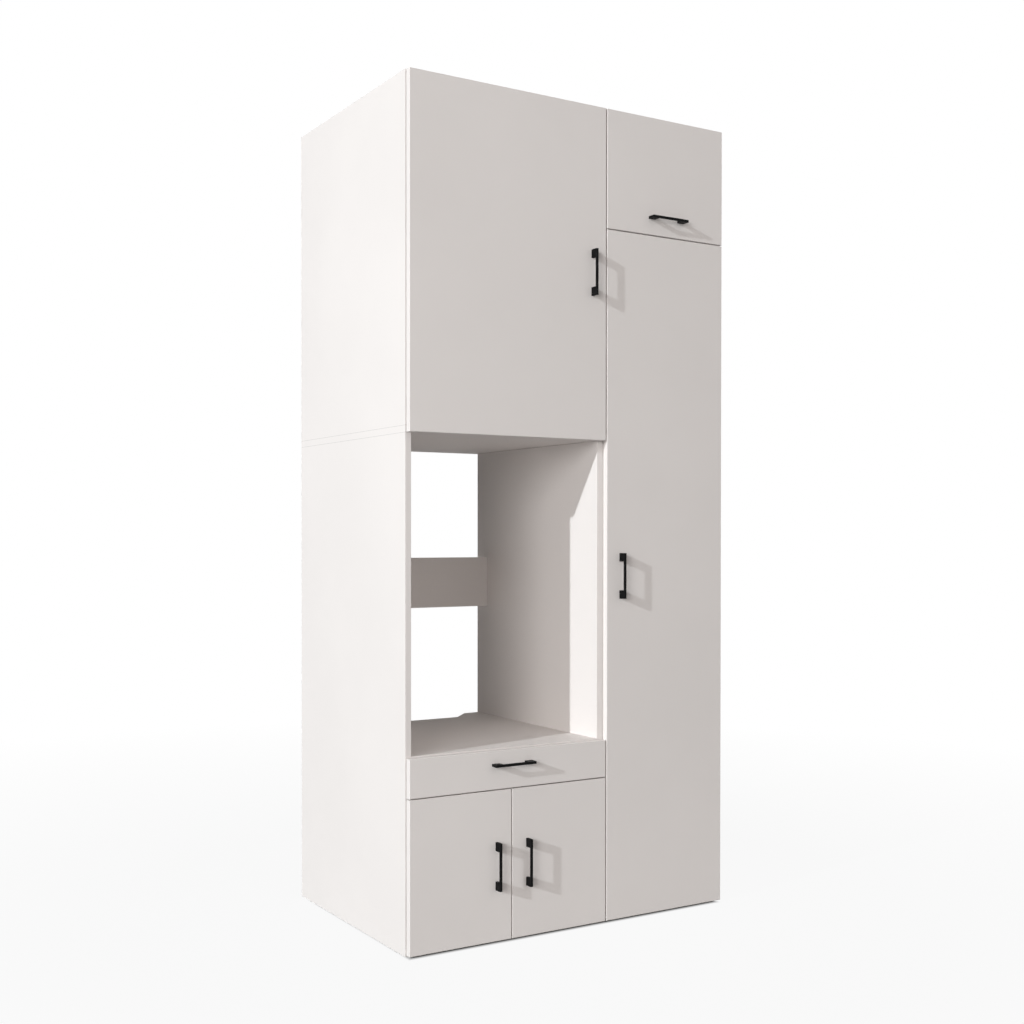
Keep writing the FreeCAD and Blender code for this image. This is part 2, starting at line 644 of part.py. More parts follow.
def connect_columns():
    """Connectors through the two boards where the columns meet, their heads flush in the cupboards."""
    connector = union("connector_master", connector_rods("connector", "0"))
    tool = union("connector_bore_master", connector_rods("connector_bore", "fit_clearance"))
    y = "carcass_front + connector_inset"
    low = [("niche_right", y, "lower_door_top / 2", AS_DRAWN)]
    high = [("niche_right", y, z, AS_DRAWN)
            for z in ("ceiling_top + connector_inset", "carcass_top - connector_inset")]
    bore("niche_right_side", tool, low)
    bore("upper_right_side", tool, high)
    bore("tall_left_side", tool, low + high)
    keep("unit_connectors", copies("all_connectors", connector, low + high))


def fit_hinges():
    """Mounting plates, arms, pins and plate screws, all on the carcass."""
    plate, arm, pin, screws, tool = mounting_plate(), hinge_arm(), hinge_pin(), plate_screws(), plate_bore()
    spots = [spot for line in HINGES.values() for spot in line]
    for label, panel in HINGE_PANELS.items():
        bore(panel, tool, HINGES[label])
    keep("hinge_plates", copies("all_plates", plate, spots))
    keep("hinge_arms", copies("all_arms", arm, spots))
    keep("hinge_pins", copies("all_pins", pin, spots))
    keep("plate_screws", copies("all_plate_screws", screws, spots))


def fit_glides():
    """Nail-on glides under the four side boards."""
    disc = rod("glide_disc", "glide_radius", "glide_height", "0", "0", "0")
    nail = rod("glide_nail", "nail_radius", "nail_length", "0", "0", "glide_height")
    glide = union("glide_master", [disc, nail])
    tool = group("nail_bore_master", [rod("nail_tool", "nail_radius + fit_clearance", "nail_length",
                                          "0", "0", "glide_height")])
    inside = "(glide_margin + glide_radius)"
    lines = {"left_lower_side": inside, "niche_right_side": f"left_width - {inside}",
             "tall_left_side": f"left_width + {inside}", "tall_right_side": f"total_width - {inside}"}
    spots = []
    for label, x in lines.items():
        front, rear = BOARDS[label][1]
        feet = [(x, y, "0", AS_DRAWN) for y in (f"{front} + glide_inset", f"{rear} - glide_inset")]
        bore(label, tool, feet)
        spots += feet
    keep("floor_glides", copies("all_glides", glide, spots))


def fit_shelves():
    """Loose shelves on pins in the upper and the tall cupboard."""
    pin = group("shelf_pin_master", [rod("shelf_pin_rod", "shelf_pin_radius", "shelf_pin_length",
                                         "0 - shelf_pin_depth", "0", "0", ALONG_X)])
    tool = group("shelf_bore_master", [rod("shelf_pin_tool", "shelf_pin_radius + fit_clearance",
                                           "shelf_pin_depth", "0 - shelf_pin_depth", "0", "0", ALONG_X)])
    cupboards = (
        ("upper_shelves", BETWEEN_LEFT, ("ceiling_top", "carcass_top - board"), UPPER_SHELF_COUNT,
         ("left_upper_side", "upper_right_side")),
        ("tall_shelves", BETWEEN_TALL, ("glide_height + board", "flap_floor_under"), TALL_SHELF_COUNT,
         ("tall_left_side", "tall_right_side")),
    )
    pins = []
    for label, x, (low, high), count, panels in cupboards:
        shelves = []
        front, rear = "carcass_front + shelf_setback", "inner_rear - shelf_side_gap"
        for number in range(1, count + 1):
            space = f"({high} - ({low}) - {count} * board) / {count + 1}"
            under = f"{low} + {number} * {space} + {number - 1} * board"
            block = box(f"{label}_blank_{number}", (f"{x[0]} + shelf_side_gap", f"{x[1]} - shelf_side_gap"),
                        (front, rear), (under, f"{under} + board"), place)
            shelves.append(rounded(f"{label}_{number}", block, [("front", "board_edge_radius")]))
            lines = (f"{front} + shelf_pin_inset", f"{rear} - shelf_pin_inset")
            left = [(x[0], y, f"{under} - shelf_pin_radius", AS_DRAWN) for y in lines]
            right = [(x[1], y, f"{under} - shelf_pin_radius", TURNED) for y in lines]
            bore(panels[0], tool, left)
            bore(panels[1], tool, right)
            pins += left + right
        keep(label, group(label + "_set", shelves))
    keep("shelf_pins", copies("all_shelf_pins", pin, pins))


def build_boards():
    """Carcass boards with soft front edges and all the bores noted for them."""
    blanks = {label: rounded(label + "_soft", box(label + "_blank", *spans, place),
                             [("front", "board_edge_radius")])
              for label, spans in BOARDS.items()}
    blanks["niche_floor"] = rounded("niche_floor_soft", niche_floor_blank(),
                                    [("front", "board_edge_radius")])
    for label, blank in blanks.items():
        keep(label, cut(label + "_board", blank, group(label + "_tools", BORES[label])))


def build_backs():
    """Thin backs on the rear edges of the inner boards, inside the outer sides."""
    depth = ("inner_rear", "inner_rear + back_thickness")
    keep("upper_back", box("upper_back_sheet", ("niche_left", "left_width"), depth,
                           ("ceiling_top", "carcass_top"), place))
    keep("tall_back", box("tall_back_sheet", ("left_width", "tall_right"), depth,
                          ("glide_height", "carcass_top"), place))


def channel(name, x, half, wall_at_start):
    """A runner member: a C of sheet along y, open towards or away from the cabinet side."""
    y = ("carcass_front + runner_lip", "drawer_rear")
    blank = box(name + "_blank", x, y, (f"0 - ({half})", half))
    inner_x = (f"{x[0]} + runner_wall", x[1]) if wall_at_start else (x[0], f"{x[1]} - runner_wall")
    inner = f"{half} - runner_wall"
    return cut(name, blank, box(name + "_hollow", inner_x, y, (f"0 - ({inner})", inner)))


def build_runners():
    """Three nested members on each side of the drawer."""
    step = "runner_wall + runner_play"
    outer = channel("cabinet_member", ("0", "runner_space - 2 * (runner_wall + runner_play)"),
                    "runner_height / 2", True)
    middle = channel("middle_member", (step, "runner_space - runner_wall - runner_play"),
                     f"runner_height / 2 - ({step})", True)
    inner = channel("drawer_member", (f"2 * ({step})", "runner_space"),
                    f"runner_height / 2 - 2 * ({step})", False)
    spots = [("niche_left", "0", "runner_z", AS_DRAWN), ("niche_right", "0", "runner_z", TURNED)]
    keep("cabinet_runners", copies("all_cabinet_members", outer, spots))
    keep("middle_runners", copies("all_middle_members", middle, spots))
    keep("drawer_runners", copies("all_drawer_members", inner, spots))


def build_drawer():
    """The drawer box behind its front."""
    y = ("front_thickness", "drawer_rear")
    z = ("drawer_bottom_z", "drawer_top_z")
    sheet_z = ("drawer_bottom_z - drawer_sheet", "drawer_bottom_z")
    inside = ("drawer_left + drawer_board", "drawer_right - drawer_board")
    keep("drawer_left_side", box("drawer_left_board", ("drawer_left", inside[0]), y, z, place))
    keep("drawer_right_side", box("drawer_right_board", (inside[1], "drawer_right"), y, z, place))
    back_y = ("drawer_rear - drawer_board", "drawer_rear")
    keep("drawer_back", box("drawer_back_board", inside, back_y, z, place))
    keep("drawer_bottom", box("drawer_bottom_sheet", ("drawer_left", "drawer_right"), y, sheet_z, place))


def write_nodes():
    """Check every object, then write one file per node."""
    doc.recompute()
    failed = [thing.Name for thing in doc.Objects if {"Invalid", "Error"} & set(thing.State)]
    if failed:
        raise RuntimeError(f"failed objects: {failed}")
    for label, thing in NODES.items():
        if thing.Shape.isNull() or not thing.Shape.isValid() or not thing.Shape.Solids:
            raise RuntimeError(f"bad shape: {label}")
    os.makedirs("parts", exist_ok=True)
    for label, thing in NODES.items():
        thing.Shape.exportStep(f"parts/{label}.step")
        print(f"{label}: {len(thing.Shape.Solids)} solids, {thing.Shape.Volume:.0f} mm3")


join_boards()
dowel_ceiling()
connect_columns()
fit_hinges()
fit_glides()
fit_shelves()
build_boards()
build_backs()
build_fronts()
build_runners()
build_drawer()
write_nodes()
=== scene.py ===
"""Looks of the washing machine cabinet: board finishes, fittings in detail, floor, light and camera.

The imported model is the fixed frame. Boards, handles, hinges and runners keep their CAD shapes and get a
finish. Screws, cams, shelf pins, connectors and glides are drawn in detail in place of their plain solids.
The screws of hinge cups, hinge arms and drawer runners and the nails of the backs are added.

Metres, in the cabinet's own frame: origin on the floor under the middle, +X right, +Y to the wall, +Z up.
"""
import bpy
import bmesh
import json
import math
from collections import namedtuple
from mathutils import Matrix, Vector


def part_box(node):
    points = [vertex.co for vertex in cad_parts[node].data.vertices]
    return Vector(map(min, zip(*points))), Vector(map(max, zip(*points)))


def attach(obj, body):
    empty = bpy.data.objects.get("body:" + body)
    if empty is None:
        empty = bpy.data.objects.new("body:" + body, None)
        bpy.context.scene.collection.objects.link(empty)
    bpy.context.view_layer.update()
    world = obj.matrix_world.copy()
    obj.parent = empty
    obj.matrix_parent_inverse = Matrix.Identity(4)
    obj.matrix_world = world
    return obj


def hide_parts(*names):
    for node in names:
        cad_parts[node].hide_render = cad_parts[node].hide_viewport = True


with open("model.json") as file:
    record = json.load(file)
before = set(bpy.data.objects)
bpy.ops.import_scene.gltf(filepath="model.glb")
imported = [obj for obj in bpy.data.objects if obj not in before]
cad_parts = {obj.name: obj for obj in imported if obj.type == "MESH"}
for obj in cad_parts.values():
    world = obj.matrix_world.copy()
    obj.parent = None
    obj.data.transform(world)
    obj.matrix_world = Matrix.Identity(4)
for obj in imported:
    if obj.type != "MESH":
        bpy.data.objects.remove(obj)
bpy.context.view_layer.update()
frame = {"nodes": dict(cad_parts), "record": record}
NODES = frame["nodes"]
BODY_OF = {label: body for body, labels in frame["record"]["behaviour"]["bodies"].items() for label in labels}

X, Y, Z = range(3)
UP = Vector((0, 0, 1))
DOWN = Vector((0, 0, -1))
RIGHT = Vector((1, 0, 0))
LEFT = Vector((-1, 0, 0))
TO_WALL = Vector((0, 1, 0))

# Pieces that share a finish
FRONTS = ("upper_door", "lower_left_door", "lower_right_door", "tall_door", "flap", "drawer_front")
BACKS = ("upper_back", "tall_back")
JOINTED_SIDES = ("left_lower_side", "left_upper_side", "niche_right_side", "upper_right_side")
TALL_SIDES = ("tall_left_side", "tall_right_side")
LYING_BOARDS = ("niche_ceiling", "niche_floor", "base_bottom", "upper_top", "tall_bottom", "flap_floor",
                "tall_top")
STANDING_BOARDS = ("base_back", "niche_rail")
SHELVES = ("upper_shelves", "tall_shelves")
DRAWER_BOX = ("drawer_left_side", "drawer_right_side", "drawer_back", "drawer_bottom")
RUNNERS = ("cabinet_runners", "middle_runners", "drawer_runners")
HINGE_STEEL = ("hinge_plates", "hinge_arms", "hinge_pins")
FASTENERS = ("cam_locks", "cam_bolts", "unit_connectors", "shelf_pins", "plate_screws")
HANDLES = [label for label in NODES if label.endswith("_handle")]
HANDLE_SCREWS = [label for label in NODES if label.endswith("_handle_screws")]
HINGE_CUPS = [label for label in NODES if label.endswith("_hinge_cups")]

# Where the front edges of carcass and shelves lie
CARCASS_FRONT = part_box("niche_floor")[0].y
SHELF_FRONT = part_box("tall_shelves")[0].y

# Colours
WARM_WHITE = (0.768, 0.724, 0.698, 1)
INNER_WHITE = (0.778, 0.746, 0.724, 1)
HAIRLINE_GREY = (0.47, 0.43, 0.41, 1)
# Painted shade: the grey of the shadow in the crack where two boards meet
JOINT_SHADE_GREY = (0.25, 0.23, 0.21, 1)
CHIP_BROWN = (0.30, 0.185, 0.10, 1)
CHIP_TAN = (0.58, 0.42, 0.27, 1)
CHIP_DUST = (0.20, 0.12, 0.065, 1)
FIBRE_TAN = (0.52, 0.45, 0.37, 1)
SAWN_FIBRE = (0.27, 0.19, 0.12, 1)
COAT_BLACK = (0.0045, 0.0045, 0.0048, 1)
COAT_RUBBED = (0.009, 0.009, 0.0094, 1)
BEECH_BROWN = (0.46, 0.29, 0.16, 1)
BEECH_PALE = (0.66, 0.47, 0.29, 1)
GLIDE_PALE = (0.62, 0.60, 0.57, 1)
GLIDE_SCUFFED = (0.50, 0.48, 0.45, 1)
NICKEL = (0.60, 0.59, 0.57, 1)
ZINC = (0.62, 0.62, 0.60, 1)
RUNNER_ZINC = (0.56, 0.57, 0.58, 1)

# Gloss: specular level of each kind of surface, and the roughness of its skin
BOARD_SHEEN = 0.1
COAT_SHEEN = 0.05
PLAIN_SHEEN = 0.5
BOARD_GLOSS_LOSS = 0.68
FRONT_GLOSS_LOSS = 0.58
BACK_GLOSS_LOSS = 0.55
NICKEL_GLOSS_LOSS = 0.26
ZINC_GLOSS_LOSS = 0.34

# Depth of the textures, how strongly they show, and what pearl and peel have of the melamine's texture
PEARL_DEPTH = 0.00016
FIBRE_DEPTH = 0.0001
COAT_DEPTH = 0.00008
PLATING_DEPTH = 0.00003
BEECH_DEPTH = 0.0002
SCUFF_DEPTH = 0.0001
RELIEF = 0.5
COAT_RELIEF = 0.6
PEARL_SHARE = 0.6
PEEL_SHARE = 0.4

# Streaks per metre along x, y and z
NICKEL_GRAIN = (60.0, 900.0, 900.0)
ZINC_GRAIN = (300.0, 300.0, 300.0)
RUNNER_GRAIN = (900.0, 14.0, 900.0)
SCREEN_MESH = (700.0, 60.0, 700.0)
BEECH_GRAIN = (900.0, 900.0, 40.0)

# The range that most of a noise lies in
NOISE_LOW = 0.3
NOISE_HIGH = 0.7

# Edge bands, painted shade lines at joints between boards, and raw edges
BAND = 0.001
FRONT_ROUNDING = 0.0006
HAIRLINE_CORE = 0.00008
HAIRLINE_FADE = 0.00022
BOARD_HAIRLINE = 0.5
FRONT_HAIRLINE = 0.8
BAND_GLOSS = 0.06
# Joint lines are painted shade, a dark line for the shadow in the crack between two boards
JOINT_HALF_WIDTH = 0.0007
JOINT_FADE = 1.6
JOINT_SHADE_STRENGTH = 0.45
FACING = 0.6
RAW_ROUGHNESS = 0.4
RAW_RELIEF = 3.0
SAWN_FRAY = 0.0006
SAWN_CORE = 0.0009
SAWN_FADE = 0.0014

# Fittings: a seat is the place of a fitting and the way that it points
Seat = namedtuple("Seat", "spot way")
Finish = namedtuple("Finish", "material slot")
Screw = namedtuple("Screw", "head_radius head_height shank_radius shank_length")
Recess = namedtuple("Recess", "reach width depth")
Turning = namedtuple("Turning", "profile sides")
PLATE_SCREW = Screw(0.0035, 0.0018, 0.00175, 0.014)
HANDLE_SCREW = Screw(0.004, 0.0022, 0.002, 0.030)
CUP_SCREW = Screw(0.0031, 0.0011, 0.0015, 0.009)
ARM_SCREW = Screw(0.0034, 0.0014, 0.0016, 0.002)
RUNNER_SCREW = Screw(0.0035, 0.0014, 0.00175, 0.0105)

# A screw's shape: shares of the head's radius and height, and of the shank's length above its point
PAN_HEAD = ((0, 1), (0.45, 0.97), (0.75, 0.84), (0.93, 0.58), (1, 0.25), (1, 0))
SHANK_SHARE = 0.85
SCREW_SIDES = 28
RECESS_REACH = 1.15
RECESS_WIDTH = 0.26
RECESS_DEPTH = 0.8
RECESS_FLOOR = 0.45
RECESS_TURN = 0.7

# Turned fittings: radius and height of each corner of the profile
CAM = Turning(((0, 0), (0.00465, 0), (0.00495, -0.0003), (0.00555, -0.0003), (0.00585, 0), (0.006975, 0),
               (0.0075, -0.0006), (0.0075, -0.013), (0, -0.013)), 40)
SHELF_PIN = Turning(((0, 0), (0.0022, 0), (0.0025, 0.0004), (0.0025, 0.0166), (0.0022, 0.0175),
                     (0.0013, 0.018), (0, 0.018)), 24)
HALF_SLEEVE = Turning(((0, 0), (0.0064, 0), (0.007, -0.0004), (0.007, -0.002), (0.004, -0.002),
                       (0.004, -0.018), (0, -0.018)), 40)
GLIDE = Turning(((0, 0), (0.006, 0), (0.0074, 0.0005), (0.008, 0.0015), (0.008, 0.0035), (0.0076, 0.004),
                 (0.0015, 0.004), (0.0015, 0.0145), (0, 0.016)), 32)
NAIL_HEAD = Turning(((0, 0.0007), (0.0011, 0.000616), (0.00187, 0.00035), (0.0022, 0), (0, 0)), 16)
CAM_RECESS = Recess(0.007875, 0.0018, 0.003)
SLEEVE_RECESS = Recess(0.007, 0.0016, 0.0016)

# Where fittings sit
CUP_SCREW_OFFSET = 0.024
ARM_OVER_WING = 0.0037
ARM_SCREW_SETBACKS = (0.016, 0.042)
RUNNER_SHEET = 0.0015
RUNNER_SCREW_SHARES = (0.06, 0.34, 0.66, 0.94)
NAIL_INSET = 0.009
NAIL_STEP = 0.12
CAM_MARGIN = 0.001

# How close points of a mesh count as one, and from which angle an edge stays sharp
SAME_POINT = 1e-6
SAME_LEVEL = 1e-5
SHARP_ANGLE = math.radians(32)

# Floor: it turns white from near to far, and shades a little way in under the cabinet
FLOOR_RADIUS = 45.0
FLOOR_SIDES = 96
FLOOR_GREY = (0.32, 0.32, 0.32, 1)
WHITE = (1, 1, 1, 1)
FADE_NEAR = 1.2
FADE_FAR = 4.0
NEAR_WHITE = 0.925
SHADE_REACH = 0.018

# Room: its light falls off from the front towards the wall
ROOM_TINT = (1.0, 0.96, 0.94, 1)
ROOM_TURN = (-0.4, 0.2)
ROOM_STRENGTH = (0.58, 0.02)

# Lamps stand in a direction from the middle of the cabinet
Lamp = namedtuple("Lamp", "name direction distance size power colour")
LAMP_AIM = Vector((0, 0, 1.15))
LAMPS = (
    Lamp("key", (-4.1, -0.9, 1.43), 40.0, 0.6, 10200.0, (0.935, 1.0, 1.04)),
    Lamp("left_fill", (-0.82, -0.57, 0.14), 10.0, 4.3, 425.0, (1.0, 1.0, 1.0)),
    Lamp("right_fill", (1.0, 0.05, 0.1), 9.0, 2.0, 370.0, (1.0, 1.0, 1.0)),
    Lamp("back_fill", (0.0, 1.0, -0.006), 30.0, 1.5, 4400.0, (1.0, 1.0, 1.0)),
    Lamp("top_fill", (0.05, 0.05, 1.0), 6.0, 3.0, 40.0, (1.0, 1.0, 1.0)),
)

# Camera, angles in degrees
CAMERA_SPOT = (-2.16494, -3.28072, 1.11613)
CAMERA_TILT = 90 - 0.5639
CAMERA_TURN = -29.9103
CAMERA_SENSOR = 36.0
CAMERA_LENS = 44.921
CAMERA_SHIFT = (0.0763, 0.0377)


# Shader nodes

def feed(tree, target, inputs):
    """Link sockets to a node's inputs, and set plain values on its other inputs."""
    for key, value in inputs.items():
        if isinstance(value, bpy.types.NodeSocket):
            tree.links.new(value, target.inputs[key])
        else:
            target.inputs[key].default_value = value


def node(tree, kind, inputs=None, **settings):
    """Add a shader node with its settings and inputs."""
    made = tree.nodes.new("ShaderNode" + kind)
    for name, setting in settings.items():
        setattr(made, name, setting)
    feed(tree, made, inputs or {})
    return made


def maths(tree, operation, *values):
    """One step of arithmetic."""
    return node(tree, "Math", dict(enumerate(values)), operation=operation).outputs[0]


def vector_maths(tree, operation, first, second):
    """One step of arithmetic on vectors."""
    return node(tree, "VectorMath", {0: first, 1: second}, operation=operation).outputs[0]


def blend(tree, factor, first, second, blend_type="MIX"):
    """Mix two colours."""
    mixed = node(tree, "Mix", {0: factor, 6: first, 7: second}, data_type="RGBA", blend_type=blend_type)
    return mixed.outputs[2]


def tinted(tree, tint, shade):
    """A tint made lighter or darker by a shade about one."""
    grey = node(tree, "CombineColor", {0: shade, 1: shade, 2: shade}).outputs[0]
    return blend(tree, 1.0, tint, grey, "MULTIPLY")


def ramp(tree, value, low, high, start=0.0, stop=1.0):
    """Map a value from low..high to start..stop, held at the ends."""
    return node(tree, "MapRange", {0: value, 1: low, 2: high, 3: start, 4: stop}).outputs[0]


def spread(tree, value, start, stop):
    """Map the usual range of a noise to start..stop."""
    return ramp(tree, value, NOISE_LOW, NOISE_HIGH, start, stop)


def place_of(tree):
    """The point of the surface, in the cabinet's frame."""
    return node(tree, "TexCoord").outputs["Object"]


def part_of(tree, vector, axis):
    """One component of a vector."""
    return node(tree, "SeparateXYZ", {0: vector}).outputs[axis]


def noise(tree, where, per_metre, detail=2.0, roughness=0.5):
    """Cloudy noise with a number of spots per metre."""
    settings = {"Vector": where, "Scale": per_metre, "Detail": detail, "Roughness": roughness}
    return node(tree, "TexNoise", settings).outputs[0]


def streaks(tree, per_metre, detail=2.0, roughness=0.5):
    """Noise drawn out to streaks, with a number of them per metre along each axis."""
    along = vector_maths(tree, "MULTIPLY", place_of(tree), per_metre)
    return noise(tree, along, 1.0, detail, roughness)


def inset(tree, low, high, first, second):
    """How far a point lies inside a box, along the nearer of two axes."""
    where = place_of(tree)
    from_low = vector_maths(tree, "SUBTRACT", where, low)
    from_high = vector_maths(tree, "SUBTRACT", high, where)
    nearest = vector_maths(tree, "MINIMUM", from_low, from_high)
    return maths(tree, "MINIMUM", part_of(tree, nearest, first), part_of(tree, nearest, second))


# Effects that several finishes use

def effect(name, inputs, outputs):
    """Start a shader node group with named sockets: the tree, its inputs by name and its output node."""
    tree = bpy.data.node_groups.new(name, "ShaderNodeTree")
    for label, kind in inputs:
        tree.interface.new_socket(label, in_out="INPUT", socket_type="NodeSocket" + kind)
    for label, kind in outputs:
        tree.interface.new_socket(label, in_out="OUTPUT", socket_type="NodeSocket" + kind)
    return tree, tree.nodes.new("NodeGroupInput").outputs, tree.nodes.new("NodeGroupOutput")


def use(tree, name, inputs):
    """Place a node group in a material and return its outputs by name."""
    made = tree.nodes.new("ShaderNodeGroup")
    made.node_tree = bpy.data.node_groups[name]
    feed(tree, made, inputs)
    return made.outputs


def make_melamine():
    """Pressed melamine: a faint cloudiness, fine flecks and a pearl texture about a millimetre wide."""
    tree, given, end = effect("melamine", [("Tint", "Color"), ("Gloss Loss", "Float")],
                              [("Colour", "Color"), ("Roughness", "Float"), ("Height", "Float")])
    where = place_of(tree)
    cloud = noise(tree, where, per_metre=2.3, detail=3.0)
    fleck = noise(tree, where, per_metre=420.0)
    pearl = noise(tree, where, per_metre=950.0, detail=1.0)
    peel = noise(tree, where, per_metre=130.0, detail=1.0)
    shade = maths(tree, "ADD", spread(tree, cloud, 0.975, 1.012), spread(tree, fleck, -0.008, 0.008))
    rough = maths(tree, "ADD", given["Gloss Loss"], spread(tree, cloud, -0.03, 0.03))
    height = maths(tree, "ADD", maths(tree, "MULTIPLY", pearl, PEARL_SHARE),
                   maths(tree, "MULTIPLY", peel, PEEL_SHARE))
    feed(tree, end, {"Colour": tinted(tree, given["Tint"], shade), "Roughness": rough, "Height": height})


def make_chipboard():
    """The raw core of a board where an edge has no band: pressed chips of several browns."""
    tree, _, end = effect("chipboard", [], [("Colour", "Color"), ("Height", "Float")])
    where = place_of(tree)
    chips = node(tree, "TexVoronoi", {"Vector": where, "Scale": 380.0, "Randomness": 1.0})
    tone = node(tree, "SeparateColor", {0: chips.outputs["Color"]}).outputs[0]
    dust = noise(tree, where, per_metre=900.0, detail=3.0)
    brown = blend(tree, tone, CHIP_BROWN, CHIP_TAN)
    colour = blend(tree, ramp(tree, dust, low=0.35, high=0.7, stop=0.5), brown, CHIP_DUST)
    feed(tree, end, {"Colour": colour, "Height": maths(tree, "ADD", tone, dust)})


def make_rim():
    """Distance of a point of an upright panel from the nearest of its four edges."""
    tree, given, end = effect("panel_rim", [("Low", "Vector"), ("High", "Vector")], [("Distance", "Float")])
    feed(tree, end, {"Distance": inset(tree, given["Low"], given["High"], X, Z)})


def make_edge_band():
    """Edge band of a board: the band itself, and the hairline where it meets the face."""
    tree, given, end = effect("edge_band", [("Distance", "Float"), ("Width", "Float")],
                              [("Band", "Float"), ("Hairline", "Float")])
    off = maths(tree, "ABSOLUTE", maths(tree, "SUBTRACT", given["Distance"], given["Width"]))
    band = maths(tree, "LESS_THAN", given["Distance"], given["Width"])
    feed(tree, end, {"Band": band, "Hairline": ramp(tree, off, HAIRLINE_CORE, HAIRLINE_FADE, 1.0, 0.0)})


def make_joint_shade_line():
    """Painted shade: a dark hairline at a given height, standing for the shadow in the crack where one
    board's end meets another board.
    """
    tree, given, end = effect("joint_shade_line", [("Height", "Float"), ("Half Width", "Float")],
                              [("Line", "Float")])
    above = maths(tree, "SUBTRACT", part_of(tree, place_of(tree), Z), given["Height"])
    fade = maths(tree, "MULTIPLY", given["Half Width"], JOINT_FADE)
    line = ramp(tree, maths(tree, "ABSOLUTE", above), given["Half Width"], fade, 1.0, 0.0)
    feed(tree, end, {"Line": line})


def make_plating():
    """Plated steel: fine drawn lines along one direction, a faint crystal bloom and dull patches."""
    tree, given, end = effect("plating", [("Tint", "Color"), ("Grain", "Vector"), ("Gloss Loss", "Float")],
                              [("Colour", "Color"), ("Roughness", "Float"), ("Height", "Float")])
    where = place_of(tree)
    lines = streaks(tree, given["Grain"], detail=3.0, roughness=0.6)
    bloom = noise(tree, where, per_metre=160.0, detail=3.0)
    dull = noise(tree, where, per_metre=24.0)
    shade = maths(tree, "ADD", spread(tree, bloom, 0.90, 1.06), spread(tree, lines, -0.05, 0.05))
    rough = maths(tree, "ADD", given["Gloss Loss"], spread(tree, dull, -0.06, 0.10))
    feed(tree, end, {"Colour": tinted(tree, given["Tint"], shade), "Roughness": rough, "Height": lines})


# Finishes

def finish_tree(name, sheen=PLAIN_SHEEN):
    """Start a material: the material, its node tree and its shader."""
    material = bpy.data.materials.new(name)
    material.use_nodes = True
    tree = material.node_tree
    tree.nodes.clear()
    shader = node(tree, "BsdfPrincipled", {"Specular IOR Level": sheen})
    end = node(tree, "OutputMaterial", {"Surface": shader.outputs[0]})
    end.is_active_output = True
    return material, tree, shader


def dress(tree, shader, colour, roughness, height, depth, strength=RELIEF):
    """Feed a shader's colour, roughness and bump."""
    bump = node(tree, "Bump", {"Height": height, "Distance": depth, "Strength": strength})
    feed(tree, shader, {"Base Color": colour, "Roughness": roughness, "Normal": bump.outputs[0]})


def banded(tree, colour, rough, distance, width, strength):
    """Colour and roughness with an edge band: a hairline where it ends, and a little more gloss on it."""
    edge = use(tree, "edge_band", {"Distance": distance, "Width": width})
    colour = blend(tree, maths(tree, "MULTIPLY", edge["Hairline"], strength), colour, HAIRLINE_GREY)
    rough = maths(tree, "SUBTRACT", rough, maths(tree, "MULTIPLY", edge["Band"], BAND_GLOSS))
    return colour, rough


def bared(tree, colour, rough, height, feet):
    """Colour, roughness and height with raw chipboard on the rear edge, and underneath where the feet are."""
    core = use(tree, "chipboard", {})
    facing = node(tree, "NewGeometry").outputs["True Normal"]
    bare = maths(tree, "GREATER_THAN", part_of(tree, facing, Y), FACING)
    if feet:
        bare = maths(tree, "MAXIMUM", bare, maths(tree, "LESS_THAN", part_of(tree, facing, Z), -FACING))
    relief = maths(tree, "MULTIPLY", core["Height"], maths(tree, "MULTIPLY", bare, RAW_RELIEF))
    colour = blend(tree, bare, colour, core["Colour"])
    rough = maths(tree, "ADD", rough, maths(tree, "MULTIPLY", bare, RAW_ROUGHNESS))
    return colour, rough, maths(tree, "ADD", height, relief)


def board_finish(name, tint, front=None, raw=(), joints=()):
    """Melamine board: banded front edge, raw core on its rear edge or feet, painted shade lines where boards
    meet.
    """
    material, tree, shader = finish_tree(name, BOARD_SHEEN)
    skin = use(tree, "melamine", {"Tint": tint, "Gloss Loss": BOARD_GLOSS_LOSS})
    colour, rough, height = skin["Colour"], skin["Roughness"], skin["Height"]
    if front is not None:
        behind = maths(tree, "SUBTRACT", part_of(tree, place_of(tree), Y), front)
        colour, rough = banded(tree, colour, rough, behind, BAND, BOARD_HAIRLINE)
    # Painted shade: a dark line at each joint's height, for the shadow in the crack between boards
    for level in joints:
        joint_shade = use(tree, "joint_shade_line", {"Height": level, "Half Width": JOINT_HALF_WIDTH})
        colour = blend(tree, maths(tree, "MULTIPLY", joint_shade["Line"], JOINT_SHADE_STRENGTH), colour, JOINT_SHADE_GREY)
    if raw:
        colour, rough, height = bared(tree, colour, rough, height, "feet" in raw)
    dress(tree, shader, colour, rough, height, PEARL_DEPTH)
    return material


def front_finish(label):
    """Melamine front with a band all round, its hairline just inside the rounded edges."""
    material, tree, shader = finish_tree(label + "_melamine", BOARD_SHEEN)
    low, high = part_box(label)
    skin = use(tree, "melamine", {"Tint": WARM_WHITE, "Gloss Loss": FRONT_GLOSS_LOSS})
    rim = use(tree, "panel_rim", {"Low": low, "High": high})
    colour, rough = banded(tree, skin["Colour"], skin["Roughness"], rim["Distance"], BAND + FRONT_ROUNDING,
                           FRONT_HAIRLINE)
    dress(tree, shader, colour, rough, skin["Height"], PEARL_DEPTH)
    return material


